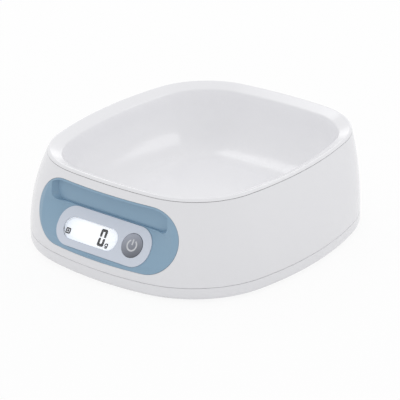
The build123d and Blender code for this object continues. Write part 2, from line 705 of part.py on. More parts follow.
def main_board():
    sketch = RectangleRounded(BOARD_WIDTH, BOARD_HEIGHT, BOARD_CORNER)
    for x, up in corners(BOARD_POST_X, BOARD_POST_UP):
        sketch -= Pos(x, up) * Circle(BOARD_SCREW_DIAMETER / 2 + PANEL_FIT)
    return in_panel_frame(single(slab(sketch, BOARD_BACK, BOARD_FRONT)))


def controller_chip():
    """Chip under its round cap of resin, on the board's back."""
    sketch = Pos(CHIP_X, 0) * Circle(CHIP_DIAMETER / 2)
    chip = slab(sketch, BOARD_BACK - CHIP_HEIGHT, BOARD_BACK)
    chip = fillet(chip.faces().sort_by(Axis.Z)[0].edges(), CHIP_ROUND)
    return in_panel_frame(single(chip))


def wire_socket():
    width, height, depth = SOCKET_SIZE
    sketch = Pos(SOCKET_X, 0) * Rectangle(width, height)
    return in_panel_frame(single(slab(sketch, BOARD_BACK - depth, BOARD_BACK)))


def board_screws():
    screws = []
    for x, up in corners(BOARD_POST_X, BOARD_POST_UP):
        shank = Pos(x, up) * Circle(BOARD_SCREW_DIAMETER / 2)
        head = Pos(x, up) * Circle(BOARD_SCREW_HEAD / 2)
        screw = slab(shank, BOARD_BACK, BOARD_BACK + BOARD_SCREW_LENGTH)
        screw += slab(head, BOARD_BACK - BOARD_SCREW_HEAD_HEIGHT, BOARD_BACK)
        screws.append(in_panel_frame(single(screw)))
    return group(screws)


def tact_switch():
    """Small switch under the button, with the hole that its plunger sinks into."""
    place = Pos(BUTTON_X, 0)
    body = slab(place * Rectangle(SWITCH_SIZE, SWITCH_SIZE), BOARD_FRONT, SWITCH_TOP)
    bottom = POST_END - PLUNGER_DEPTH - BUTTON_TRAVEL - PLUNGER_FIT
    bore = slab(place * Circle(PLUNGER_DIAMETER / 2 + PLUNGER_FIT), bottom, SWITCH_TOP + CUT)
    return in_panel_frame(single(body - bore))


def tact_plunger():
    sketch = Pos(BUTTON_X, 0) * Circle(PLUNGER_DIAMETER / 2)
    return in_panel_frame(single(slab(sketch, POST_END - PLUNGER_DEPTH, POST_END)))


def power_button():
    place = Pos(BUTTON_X, 0)
    cap = slab(place * Circle(BUTTON_DIAMETER / 2), FLANGE_BACK, PANEL_PROUD + BUTTON_PROUD)
    cap = fillet(cap.faces().sort_by(Axis.Z)[-1].edges(), BUTTON_PROUD)
    flange_radius = BUTTON_DIAMETER / 2 + BUTTON_FLANGE
    cap += slab(place * Circle(flange_radius), FLANGE_BACK, PANEL_BACK - PANEL_FIT)
    cap += slab(place * Circle(BUTTON_POST / 2), POST_END, FLANGE_BACK)
    return in_panel_frame(single(cap))


def load_cell():
    """Aluminium beam, thinned by two joined bores where it bends."""
    half = CELL_LENGTH / 2
    beam = block((-half, half), (-CELL_WIDTH / 2, CELL_WIDTH / 2), (CELL_LEVEL, CELL_TOP))
    middle = (CELL_LEVEL + CELL_TOP) / 2
    side = Plane((0, CELL_WIDTH / 2 + CUT, middle), x_dir=(1, 0, 0), z_dir=(0, -1, 0))
    eyes = Rectangle(CELL_EYE_SPACING, CELL_EYE_DIAMETER / 3)
    for sign in (-1, 1):
        eyes += Pos(sign * CELL_EYE_SPACING / 2, 0) * Circle(CELL_EYE_DIAMETER / 2)
    beam -= side * extrude(eyes, CELL_WIDTH + 2 * CUT)
    for x in (-CELL_HOLE_OUT, -CELL_HOLE_IN, CELL_HOLE_IN, CELL_HOLE_OUT):
        beam -= disc(x, 0, CELL_LEVEL - CUT, CELL_TOP + CUT, CELL_HOLE_DIAMETER)
    return single(beam)


def strain_gauge_coating():
    """White sealant over the gauges, above and below the thin places."""
    x_range = (-GAUGE_LENGTH / 2, GAUGE_LENGTH / 2)
    y_range = (-CELL_WIDTH / 2, CELL_WIDTH / 2)
    layers = []
    for low in (CELL_LEVEL - GAUGE_THICKNESS, CELL_TOP):
        layer = block(x_range, y_range, (low, low + GAUGE_THICKNESS))
        layers.append(fillet(layer.edges().filter_by(Axis.Z), CELL_WIDTH / 4))
    return group(layers)


def cell_screw(x, head_level, shank_end, head_up):
    """Pan screw along Z: its head's seat, its tip and which way the head lies."""
    low, high = sorted((head_level, shank_end))
    head_low = head_level if head_up else head_level - SCREW_HEAD_HEIGHT
    head = disc(x, 0, head_low, head_low + SCREW_HEAD_HEIGHT, SCREW_HEAD_DIAMETER)
    return single(disc(x, 0, low, high, SCREW_DIAMETER) + head)


def load_cell_screws():
    seat = FOOT_STAND + SCREW_HEAD_HEIGHT + SCREW_HEAD_FIT
    tip = CELL_LEVEL + SCREW_DEPTH
    return group([cell_screw(-x, seat, tip, False) for x in (CELL_HOLE_OUT, CELL_HOLE_IN)])


def platform_screws():
    seat = PLATFORM_TOP + RIB_HEIGHT - SCREW_HEAD_HEIGHT
    tip = CELL_TOP - SCREW_DEPTH
    return group([cell_screw(x, seat, tip, True) for x in (CELL_HOLE_OUT, CELL_HOLE_IN)])


def hub_sketch(grow):
    length = CELL_HOLE_OUT - CELL_HOLE_IN + HUB_WIDTH
    return Pos(HUB_X, 0) * SlotOverall(length + 2 * grow, HUB_WIDTH + 2 * grow)


def hub_spacer():
    """Post that carries the platform through the deck, just clear of the beam's rest."""
    start = CELL_TOP + WEIGH_TRAVEL + HUB_GAP
    post = Pos(0, 0, start) * extrude(hub_sketch(0.0), PLATFORM_LEVEL - start)
    for x in (CELL_HOLE_OUT, CELL_HOLE_IN):
        post -= disc(x, 0, start - CUT, PLATFORM_LEVEL + CUT, SCREW_DIAMETER + SCREW_FIT)
    return single(post)


def pad_places():
    return [(x, y + RIM_SHIFT) for x, y in corners(PAD_X, PAD_Y)]


def weighing_platform():
    """Ribbed plate under the bowl."""
    middle = Pos(0, RIM_SHIFT)
    outline = middle * RectangleRounded(PLATFORM_WIDTH, PLATFORM_DEPTH, PLATFORM_CORNER)
    inside = middle * RectangleRounded(
        PLATFORM_WIDTH - 2 * RIB_WIDTH, PLATFORM_DEPTH - 2 * RIB_WIDTH, PLATFORM_CORNER - RIB_WIDTH
    )
    plate = Pos(0, 0, PLATFORM_LEVEL) * extrude(outline, PLATFORM_PLATE)
    ribs = outline - inside
    for x, y in corners(PAD_X, PAD_Y):
        rib = Polyline((0, RIM_SHIFT), (x, y + RIM_SHIFT))
        ribs += trace(rib, RIB_WIDTH)
    for x, y in pad_places():
        ribs += Pos(x, y) * Circle(PAD_DIAMETER / 2 + RIB_WIDTH)
    ribs += hub_sketch(RIB_WIDTH / 2)
    plate += Pos(0, 0, PLATFORM_TOP) * extrude(ribs, RIB_HEIGHT)
    for x, y in pad_places():
        plate -= disc(x, y, PLATFORM_TOP - PAD_SEAT, PLATFORM_TOP + CUT, PAD_DIAMETER)
    window = RectangleRounded(PLATFORM_WINDOW, PLATFORM_WINDOW, PLATFORM_WINDOW_CORNER)
    cutter = extrude(window, PLATFORM_PLATE + 2 * CUT)
    for x, y in ((0, PAD_Y), (0, -PAD_Y), (-PAD_X, 0)):
        plate -= Pos(x, y + RIM_SHIFT, PLATFORM_LEVEL - CUT) * cutter
    for x in (CELL_HOLE_OUT, CELL_HOLE_IN):
        plate -= disc(x, 0, PLATFORM_LEVEL - CUT, PLATFORM_TOP + CUT, SCREW_DIAMETER + SCREW_FIT)
        head_width = SCREW_HEAD_DIAMETER + SCREW_FIT
        seat = PLATFORM_TOP + RIB_HEIGHT - SCREW_HEAD_HEIGHT
        plate -= disc(x, 0, seat, PLATFORM_TOP + CUT, head_width)
    return single(plate)


def platform_pads():
    bottom = PLATFORM_TOP - PAD_SEAT
    return group([disc(x, y, bottom, bottom + PAD_HEIGHT, PAD_DIAMETER) for x, y in pad_places()])


def housing_screws():
    seat = FOOT_STAND + COUNTERBORE_DEPTH
    shanks = bosses(seat, seat + BOSS_SCREW_LENGTH, BOSS_SCREW_DIAMETER)
    heads = bosses(seat - BOSS_SCREW_HEAD_HEIGHT, seat, BOSS_SCREW_HEAD)
    return group([single(shank + head) for shank, head in zip(shanks, heads)])


def rubber_feet():
    feet = []
    for x, y in corners(FOOT_X, FOOT_Y):
        foot = disc(x, y, 0.0, FOOT_STAND + FOOT_RECESS, FOOT_DIAMETER)
        feet.append(fillet(foot.edges().sort_by(Axis.Z)[0], FOOT_ROUND))
    return group(feet)


def cell_rows():
    """Middle line of each cell and which way its raised end points."""
    for row in range(CELLS):
        y = BATTERY_Y + (row - (CELLS - 1) / 2) * AAA_SPACING
        yield y, 1 if row % 2 == 0 else -1


def along_x(x, y, length, diameter):
    """Level cylinder along X at the cells' height."""
    middle = AAA_LEVEL + AAA_DIAMETER / 2
    turned = Pos(x, y, middle) * Rot(0, 90, 0)
    return turned * Cylinder(diameter / 2, length, align=(Align.CENTER, Align.CENTER, Align.MIN))


def batteries():
    cells = []
    end = box_x()[1] - CONTACT_THICKNESS
    body = AAA_LENGTH - NUB_LENGTH
    for y, way in cell_rows():
        tip = way * (end - NUB_LENGTH)
        start = tip - body if way > 0 else tip
        nub_start = tip if way > 0 else tip - NUB_LENGTH
        cell = along_x(start, y, body, AAA_DIAMETER)
        cell += along_x(nub_start, y, NUB_LENGTH, NUB_DIAMETER)
        cells.append(single(cell))
    return group(cells)


def battery_contacts():
    plates = []
    middle = AAA_LEVEL + AAA_DIAMETER / 2
    z_range = (middle - CONTACT_HEIGHT / 2, middle + CONTACT_HEIGHT / 2)
    for y, _ in cell_rows():
        y_range = (y - CONTACT_WIDTH / 2, y + CONTACT_WIDTH / 2)
        left, right = box_x()
        plates.append(block((left, left + CONTACT_THICKNESS), y_range, z_range))
        plates.append(block((right - CONTACT_THICKNESS, right), y_range, z_range))
    return group(plates)


def battery_springs():
    """Bowed leaf at the flat end of each cell."""
    springs = []
    radius = (SPRING_SPAN**2 / 4 + SPRING_ROOM**2) / (2 * SPRING_ROOM)
    ring = Circle(radius) - Circle(radius - CONTACT_THICKNESS)
    bow = Pos(SPRING_ROOM - radius, 0) * ring
    bow &= Pos(radius, 0) * Rectangle(2 * radius, 2 * radius)
    level = AAA_LEVEL + (AAA_DIAMETER - SPRING_WIDTH) / 2
    leaf = single(extrude(bow, SPRING_WIDTH))
    plate = box_x()[1] - CONTACT_THICKNESS
    for y, way in cell_rows():
        turned = leaf if way > 0 else Rot(0, 0, 180) * leaf
        springs.append(Pos(-way * plate, y, level) * turned)
    return group(springs)


NODES = [
    weighing_bowl,
    weighing_platform,
    platform_pads,
    platform_screws,
    hub_spacer,
    load_cell,
    strain_gauge_coating,
    load_cell_screws,
    upper_housing,
    base_tray,
    housing_screws,
    rubber_feet,
    display_bezel,
    display_panel,
    lcd_window,
    lcd_glass,
    lcd_backlight,
    zebra_strip,
    main_board,
    controller_chip,
    wire_socket,
    board_screws,
    tact_switch,
    tact_plunger,
    power_button,
    battery_door,
    batteries,
    battery_contacts,
    battery_springs,
]


def main():
    os.makedirs(PARTS, exist_ok=True)
    for make in NODES:
        export_step(make(), f"{PARTS}/{make.__name__}.step")


if __name__ == "__main__":
    main()
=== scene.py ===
import json
from math import acos, copysign, cos, pi, radians, sin, sqrt

import bmesh
import bpy
from bpy.props import FloatProperty, FloatVectorProperty, PointerProperty
from bpy.types import Operator, Panel, PropertyGroup
from mathutils import Matrix, Vector
from mathutils.bvhtree import BVHTree
from mathutils.kdtree import KDTree


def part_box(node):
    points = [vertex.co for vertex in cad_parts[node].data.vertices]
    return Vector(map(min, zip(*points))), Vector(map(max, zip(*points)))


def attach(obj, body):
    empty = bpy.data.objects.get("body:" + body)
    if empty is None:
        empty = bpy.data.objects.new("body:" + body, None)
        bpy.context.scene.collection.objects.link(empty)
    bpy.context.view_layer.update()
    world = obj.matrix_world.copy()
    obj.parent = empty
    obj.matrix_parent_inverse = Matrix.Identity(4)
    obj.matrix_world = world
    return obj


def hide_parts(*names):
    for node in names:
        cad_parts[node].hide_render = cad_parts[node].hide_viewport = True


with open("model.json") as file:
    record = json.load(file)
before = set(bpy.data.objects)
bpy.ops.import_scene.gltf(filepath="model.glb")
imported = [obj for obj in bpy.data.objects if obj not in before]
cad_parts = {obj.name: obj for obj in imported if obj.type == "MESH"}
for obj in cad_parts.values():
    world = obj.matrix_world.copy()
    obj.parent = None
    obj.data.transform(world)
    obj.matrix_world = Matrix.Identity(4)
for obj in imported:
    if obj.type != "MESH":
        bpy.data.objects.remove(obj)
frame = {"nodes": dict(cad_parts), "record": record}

bl_info = {
    "name": "Kitchen scale dressing",
    "version": (1, 0, 0),
    "blender": (4, 5, 0),
    "location": "View3D > Sidebar > Kitchen Scale",
    "description": "Finishes, a bowl, display figures and a studio for a kitchen scale",
    "category": "Object",
}

MM = 0.001

PANEL_TILT = radians(34.9)

# Figures on the screen and the symbol on the button, measured on the display's plane from
# the panel's middle: across, up and outwards.
SCREEN_DEPTH = -2.59 * MM
FIGURE_THICKNESS = 0.02 * MM
DIGIT_LEFT = -4.9 * MM
DIGIT_RIGHT = 0.95 * MM
DIGIT_LOW = -7.8 * MM
DIGIT_HIGH = 5.1 * MM
DIGIT_STROKE = 2.05 * MM
DIGIT_CLIP = 0.3 * DIGIT_STROKE
UNIT_PLACE = (3.3 * MM, -5.65 * MM)
UNIT_RADIUS = 1.05 * MM
UNIT_DROP = 1.0 * MM
UNIT_STROKE = 0.85 * MM
UNIT_CLIP = 0.05 * UNIT_STROKE
MARK_PLACE = (-32.8 * MM, -4.1 * MM)
MARK_SIDE = 4.5 * MM
MARK_CORNER = 0.22 * MARK_SIDE
MARK_BORDER = 0.24 * MARK_SIDE
MARK_DISC = 0.21 * MARK_SIDE
BUTTON_X = 26.4 * MM
BUTTON_FACE = 1.2 * MM
BUTTON_RADIUS = 8.75 * MM
SYMBOL_RADIUS = 3.9 * MM
SYMBOL_STROKE = 1.2 * MM
SYMBOL_HEIGHT = 0.05 * MM
SYMBOL_OPENING = radians(62.0)
SYMBOL_BAR = 1.1 * SYMBOL_RADIUS
ARC_STEPS = 40

# The bowl: the level of its floor, the CAD's rounding above it, the wall's slope and the
# level where the lip begins. OUTLINE_POWER says how square its rounded outline is, and
# LEAST_SLOPE is the least upward part of the normal of a face that belongs to the inside.
FLOOR_LEVEL = 27.0 * MM
CAD_ROUND = 24.0 * MM
WALL_SLOPE = radians(73.6)
WALL_TOP = 62.0 * MM
OUTLINE_POWER = 2.5
LEAST_SLOPE = 0.05

# The bowl's mesh: longest edge inside it, most rounds of splitting, the reach within which
# points are one, the height over the floor that counts as raised, and what a sliver is.
BOWL_EDGE = 3.0 * MM
SPLIT_ROUNDS = 8
MERGE_REACH = 0.001 * MM
RAISED_BY = 0.01 * MM
SLIVER_AREA = 0.01 * MM ** 2

# Scales of the noise in the finishes: flow marks, uneven gloss and a grained skin.
FLOW_SCALE = 900.0
GLOSS_SCALE = 25.0
GRAIN_SCALE = 2600.0

# The camera: lens on a 36 mm sensor, the point it looks at, the way back and the distance.
LENS = 186.2
LOOK_AT = (0.0055, -0.0032, 0.0254)
LOOK_BACK = (0.5530, -0.7258, 0.4092)
DISTANCE = 1.551

# Soft boxes of the studio: name, place, size across and up, and share of the lamp power.
LAMPS = (
    ("rear_left_lamp", (-0.90, 0.50, 1.14), (0.45, 0.50), 0.75),
    ("rear_right_lamp", (0.58, 0.95, 1.12), (0.52, 0.45), 0.77),
    ("low_rear_lamp", (-1.05, 1.60, 0.36), (1.60, 0.44), 0.85),
)


def new_material(name, roughness, **constants):
    """Node material with one Principled shader; constants go on the shader's own sockets."""
    material = bpy.data.materials.new(name)
    material.use_nodes = True
    tree = material.node_tree
    shader = tree.nodes["Principled BSDF"]
    shader.inputs["Roughness"].default_value = roughness
    for socket, value in constants.items():
        shader.inputs[socket.replace("_", " ")].default_value = value
    return material, tree, shader


def noise(tree, scale, detail=3.0, stretch=(1.0, 1.0, 1.0)):
    """Noise on object coordinates, stretched along the axes."""
    place = tree.nodes.new("ShaderNodeTexCoord")
    mapping = tree.nodes.new("ShaderNodeMapping")
    mapping.inputs["Scale"].default_value = stretch
    texture = tree.nodes.new("ShaderNodeTexNoise")
    texture.inputs["Scale"].default_value = scale
    texture.inputs["Detail"].default_value = detail
    tree.links.new(place.outputs["Object"], mapping.inputs["Vector"])
    tree.links.new(mapping.outputs["Vector"], texture.inputs["Vector"])
    return texture.outputs["Fac"]


def between_tones(tree, factor, low, high):
    mix = tree.nodes.new("ShaderNodeMix")
    mix.data_type = "RGBA"
    tree.links.new(factor, mix.inputs["Factor"])
    mix.inputs["A"].default_value = (*low, 1.0)
    mix.inputs["B"].default_value = (*high, 1.0)
    return mix.outputs["Result"]


def between_values(tree, factor, low, high):
    span = tree.nodes.new("ShaderNodeMapRange")
    span.inputs["To Min"].default_value = low
    span.inputs["To Max"].default_value = high
    tree.links.new(factor, span.inputs["Value"])
    return span.outputs["Result"]


def relief(tree, shader, height, depth):
    bump = tree.nodes.new("ShaderNodeBump")
    bump.inputs["Distance"].default_value = depth
    bump.inputs["Strength"].default_value = 1.0
    tree.links.new(height, bump.inputs["Height"])
    tree.links.new(bump.outputs["Normal"], shader.inputs["Normal"])


def shade(tone, share):
    return tuple(channel * share for channel in tone)


def moulded_plastic(name, tone, roughness, spread=0.01, grain=0.0):
    """Injection-moulded plastic: faint flow shading, slightly uneven gloss and a skin."""
    material, tree, shader = new_material(name, roughness)
    flow = noise(tree, FLOW_SCALE, 2.0)
    colour = between_tones(tree, flow, shade(tone, 1.0 - spread), shade(tone, 1.0 + spread))
    tree.links.new(colour, shader.inputs["Base Color"])
    uneven = noise(tree, GLOSS_SCALE, 1.0)
    gloss = between_values(tree, uneven, roughness * 0.95, roughness * 1.05)
    tree.links.new(gloss, shader.inputs["Roughness"])
    if grain > 0.0:
        relief(tree, shader, noise(tree, GRAIN_SCALE, 2.0), grain)
    return material


def metal(name, tone, roughness, stretch=(1.0, 1.0, 1.0)):
    """Metal with fine drawn lines along the axis whose stretch is small."""
    material, tree, shader = new_material(name, roughness, Metallic=1.0)
    lines = noise(tree, FLOW_SCALE, 2.0, stretch)
    colour = between_tones(tree, lines, shade(tone, 0.9), tone)
    tree.links.new(colour, shader.inputs["Base Color"])
    gloss = between_values(tree, lines, roughness * 0.8, roughness * 1.2)
    tree.links.new(gloss, shader.inputs["Roughness"])
    relief(tree, shader, lines, 0.01 * MM)
    return material


def circuit_board(name):
    """Green solder mask over faint darker and lighter copper areas."""
    material, tree, shader = new_material(name, 0.35)
    place = tree.nodes.new("ShaderNodeTexCoord")
    cells = tree.nodes.new("ShaderNodeTexVoronoi")
    cells.distance = "MANHATTAN"
    cells.inputs["Scale"].default_value = 260.0
    tree.links.new(place.outputs["Object"], cells.inputs["Vector"])
    away = cells.outputs["Distance"]
    colour = between_tones(tree, away, (0.02, 0.16, 0.07), (0.05, 0.26, 0.13))
    tree.links.new(colour, shader.inputs["Base Color"])
    relief(tree, shader, away, 0.03 * MM)
    return material


def clear_plastic(name):
    material, tree, shader = new_material(name, 0.03, IOR=1.46, Transmission_Weight=1.0)
    tint = between_tones(tree, noise(tree, 30.0), (0.97, 0.98, 1.0), (1.0, 1.0, 1.0))
    tree.links.new(tint, shader.inputs["Base Color"])
    return material


def screen_glow_painted_shade(name, strength):
    """White liquid-crystal face that glows as its backlight and, as painted light, in place of
    the room light that the window's lens holds back; its dimming towards its ends is painted
    shade of the window's edges.
    """
    material, tree, shader = new_material(name, 0.4)
    low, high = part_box("lcd_glass")
    place = tree.nodes.new("ShaderNodeTexCoord")
    centred = tree.nodes.new("ShaderNodeMapping")
    centred.inputs["Location"].default_value = -(low + high) / 2
    tree.links.new(place.outputs["Object"], centred.inputs["Vector"])
    away = tree.nodes.new("ShaderNodeVectorMath")
    away.operation = "LENGTH"
    tree.links.new(centred.outputs["Vector"], away.inputs[0])
    # Painted shade: darker towards the screen's ends, where the window's edges would shade it.
    painted_edge_shade = tree.nodes.new("ShaderNodeMapRange")
    painted_edge_shade.inputs["From Min"].default_value = 10.0 * MM
    painted_edge_shade.inputs["From Max"].default_value = 26.0 * MM
    painted_edge_shade.inputs["To Min"].default_value = 1.0
    painted_edge_shade.inputs["To Max"].default_value = 0.0
    tree.links.new(away.outputs["Value"], painted_edge_shade.inputs["Value"])
    near = painted_edge_shade.outputs["Result"]
    colour = between_tones(tree, near, (0.80, 0.84, 0.90), (0.92, 0.94, 0.97))
    tree.links.new(colour, shader.inputs["Base Color"])
    # The glow is partly painted light that stands in for room light held back by the lens.
    tree.links.new(colour, shader.inputs["Emission Color"])
    shader.inputs["Emission Strength"].default_value = strength
    return material


def between_points(tree, start, end):
    """0 at one point of the part's frame and 1 at another, level across the line between."""
    place = tree.nodes.new("ShaderNodeTexCoord")
    moved = tree.nodes.new("ShaderNodeMapping")
    moved.inputs["Location"].default_value = -start
    tree.links.new(place.outputs["Object"], moved.inputs["Vector"])
    span = end - start
    along = tree.nodes.new("ShaderNodeVectorMath")
    along.operation = "DOT_PRODUCT"
    along.inputs[1].default_value = span / span.length_squared
    tree.links.new(moved.outputs["Vector"], along.inputs[0])
    return between_values(tree, along.outputs["Value"], 0.0, 1.0)


def satin_button_painted_shade(name, tone):
    """Satin paint with painted shade: lighter at the button's upper left and darker at its
    lower right, as light falls on its face.
    """
    material, tree, shader = new_material(name, 0.3, Metallic=0.3)
    across, up = BUTTON_RADIUS * 0.5, BUTTON_RADIUS * 0.85
    start = panel_place(BUTTON_X - across, up, BUTTON_FACE).translation
    end = panel_place(BUTTON_X + across, -up, BUTTON_FACE).translation
    # Painted shade: the colour falls from light to dark across the button's face.
    fall = between_points(tree, start, end)
    colour = between_tones(tree, fall, shade(tone, 1.5), shade(tone, 0.55))
    tree.links.new(colour, shader.inputs["Base Color"])
    return material


def finishes(choices):
    """Every finish of the scale, by the material slot of the record that it stands for."""
    along_x = (0.05, 1.0, 1.0)
    silicone = (0.78, 0.78, 0.75)
    return {
        "white_gloss": moulded_plastic("white_abs", choices.white_tone[:], choices.white_gloss),
        "bezel_blue": moulded_plastic("blue_abs", choices.bezel_tone[:], 0.34),
        "panel_grey": moulded_plastic("panel_satin", choices.panel_tone[:], 0.38),
        "clear_lens": clear_plastic("window_acrylic"),
        "lcd": screen_glow_painted_shade("screen_white_painted_shade", choices.screen_light),
        "backlight": moulded_plastic("light_guide", (0.85, 0.87, 0.9), 0.3),
        "button_grey": satin_button_painted_shade("button_satin_painted_shade", choices.button_tone[:]),
        "rubber_grey": moulded_plastic("foot_rubber", (0.10, 0.10, 0.11), 0.75, 0.1, 0.08 * MM),
        "zebra_rubber": moulded_plastic("zebra_rubber", (0.03,) * 3, 0.7, 0.3, 0.05 * MM),
        "board_green": circuit_board("board_mask"),
        "black_resin": moulded_plastic("black_resin", (0.02, 0.02, 0.022), 0.3),
        "beam_aluminium": metal("milled_aluminium", (0.80, 0.80, 0.81), 0.32, along_x),
        "sealant_white": moulded_plastic("silicone_white", silicone, 0.5, 0.02, 0.1 * MM),
        "steel": metal("zinc_steel", (0.62, 0.62, 0.64), 0.3),
        "contact_nickel": metal("nickel_spring", (0.70, 0.68, 0.64), 0.25),
        "cell_jacket": metal("cell_jacket", (0.42, 0.45, 0.50), 0.35, along_x),
    }


def panel_place(across, up, outwards):
    """Place on the tilted display: x runs along it, y up it and z out of it."""
    low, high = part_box("display_panel")
    out = Vector((0.0, -cos(PANEL_TILT), sin(PANEL_TILT)))
    side = Vector((1.0, 0.0, 0.0))
    turn = Matrix((side, out.cross(side), out)).transposed().to_4x4()
    middle = (low + high) / 2
    return Matrix.Translation(middle) @ turn @ Matrix.Translation((across, up, outwards))


def add_piece(name, bm, place, material, body):
    """Makes the finished shape an object at its place that moves with a body."""
    bmesh.ops.recalc_face_normals(bm, faces=bm.faces)
    bmesh.ops.transform(bm, matrix=place, verts=bm.verts)
    mesh = bpy.data.meshes.new(name)
    bm.to_mesh(mesh)
    bm.free()
    mesh.materials.append(material)
    piece = bpy.data.objects.new(name, mesh)
    bpy.context.collection.objects.link(piece)
    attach(piece, body)


def thicken(bm, height):
    """Gives flat faces a thickness upwards."""
    raised = bmesh.ops.extrude_face_region(bm, geom=bm.faces[:])
    verts = [item for item in raised["geom"] if isinstance(item, bmesh.types.BMVert)]
    bmesh.ops.translate(bm, verts=verts, vec=(0.0, 0.0, height))


def flat_bar(bm, middle, length, width, clip, upright=False):
    """Flat bar whose four corners are cut off."""
    size = Matrix.Diagonal((length, width, 1.0, 1.0))
    made = bmesh.ops.create_grid(bm, x_segments=1, y_segments=1, size=0.5, matrix=size)
    cut = bmesh.ops.bevel(
        bm, geom=made["verts"], offset=clip, segments=1, profile=0.5,
        affect="VERTICES", material=-1,
    )
    turn = Matrix.Rotation(pi / 2 if upright else 0.0, 4, "Z")
    place = Matrix.Translation((*middle, 0.0)) @ turn
    bmesh.ops.transform(bm, matrix=place, verts=cut["verts"])


def is_inside(face):
    """Whether a face is of the bowl's floor, rounding or wall, below the start of the lip."""
    return face.normal.z > LEAST_SLOPE and min(vert.co.z for vert in face.verts) < WALL_TOP


def is_hanging_sliver(face):
    """Whether a tiny face hangs from the closed skin by an open edge."""
    hangs = any(len(edge.link_faces) == 1 for edge in face.edges)
    return hangs and face.calc_area() < SLIVER_AREA


def merged_copy(mesh):
    """Closed copy of a CAD node's loose triangles."""
    bm = bmesh.new()
    bm.from_mesh(mesh)
    bmesh.ops.remove_doubles(bm, verts=bm.verts, dist=MERGE_REACH)
    while slivers := [face for face in bm.faces if is_hanging_sliver(face)]:
        bmesh.ops.delete(bm, geom=slivers, context="FACES")
    bm.normal_update()
    return bm


def split_long_edges(bm):
    """Halves the edges inside the bowl until they are short enough for a smooth rounding."""
    for _ in range(SPLIT_ROUNDS):
        long = [
            edge for edge in bm.edges
            if edge.calc_length() > BOWL_EDGE and any(map(is_inside, edge.link_faces))
        ]
        if not long:
            break
        bmesh.ops.subdivide_edges(bm, edges=long, cuts=1, use_single_edge=True)
        wide = [face for face in bm.faces if len(face.verts) > 3]
        bmesh.ops.triangulate(bm, faces=wide)
    bm.normal_update()


def rounding_depth(across, radius):
    """Depth of a rounded corner from its sharp point, at a distance across from its middle."""
    half = WALL_SLOPE / 2
    across = abs(across)
    if across > radius * sin(half):
        return across * sin(half) / cos(half)
    return radius / cos(half) - sqrt(radius ** 2 - across ** 2)


def distance_across(height, from_wall):
    """Place across the CAD's rounding, from the height over the floor or the way from it."""
    half = WALL_SLOPE / 2
    top = CAD_ROUND * (1.0 - cos(WALL_SLOPE))
    if height > top:
        return CAD_ROUND * sin(half) + (height - top) / sin(WALL_SLOPE) * cos(half)
    if height > MERGE_REACH:
        return CAD_ROUND * sin(acos(1.0 - height / CAD_ROUND) - half)
    return -CAD_ROUND * sin(half) - from_wall * cos(half)


def corner_bisector(place, reach):
    """Way up and inwards between floor and wall, at a place measured from the middle."""
    outwards = Vector([
        copysign((abs(place[axis]) / reach[axis]) ** OUTLINE_POWER / reach[axis], place[axis])
        for axis in (0, 1)
    ]).normalized()
    half = WALL_SLOPE / 2
    return Vector((*(-outwards * sin(half)), cos(half)))


def widen_rounding(bm, radius):
    """Moves the inside's points along the bisector, from the CAD's rounding to another."""
    low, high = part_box("weighing_bowl")
    middle, reach = (low + high) / 2, (high - low) / 2
    inside = [face for face in bm.faces if is_inside(face)]
    raised = [
        [vert.index for vert in face.verts] for face in inside
        if max(vert.co.z for vert in face.verts) > FLOOR_LEVEL + RAISED_BY
    ]
    wall = BVHTree.FromPolygons([vert.co.copy() for vert in bm.verts], raised)
    for vert in {vert for face in inside for vert in face.verts}:
        across = distance_across(vert.co.z - FLOOR_LEVEL, wall.find_nearest(vert.co)[3])
        rise = rounding_depth(across, radius) - rounding_depth(across, CAD_ROUND)
        vert.co += corner_bisector(vert.co - middle, reach) * rise


def was_moved(vertex):
    """Whether a vertex of the bowl lies on its inside, below the start of the lip."""
    return vertex.co.z < WALL_TOP and vertex.normal.z > LEAST_SLOPE


def shade_like(mesh, source):
    """Gives corners the CAD's normals, and the mesh's own where the shape was changed."""
    normals = {}
    for loop, normal in zip(source.loops, source.corner_normals):
        normals[loop.vertex_index] = normal.vector.copy()
    near = KDTree(len(source.vertices))
    for vertex in source.vertices:
        near.insert(vertex.co, vertex.index)
    near.balance()
    corners = []
    for face in mesh.polygons:
        for index in face.vertices:
            vertex = mesh.vertices[index]
            found = [] if was_moved(vertex) else near.find_range(vertex.co, 2 * MERGE_REACH)
            options = [normals[item[1]] for item in found if item[1] in normals]
            corners.append(max(options, key=face.normal.dot) if options else vertex.normal)
    mesh.normals_split_custom_set(corners)


def make_bowl(material, radius):
    """Copy of the bowl with the wide rounding that the real one has above its floor."""
    source = frame["nodes"]["weighing_bowl"].data
    bm = merged_copy(source)
    split_long_edges(bm)
    widen_rounding(bm, radius)
    for face in bm.faces:
        face.smooth = True
    mesh = bpy.data.meshes.new("bowl_moulding")
    bm.to_mesh(mesh)
    bm.free()
    if old_normals := mesh.attributes.get("custom_normal"):
        mesh.attributes.remove(old_normals)
    shade_like(mesh, source)
    mesh.materials.clear()
    mesh.materials.append(material)
    piece = bpy.data.objects.new("bowl_moulding", mesh)
    bpy.context.collection.objects.link(piece)
    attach(piece, "bowl")
    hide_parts("weighing_bowl")


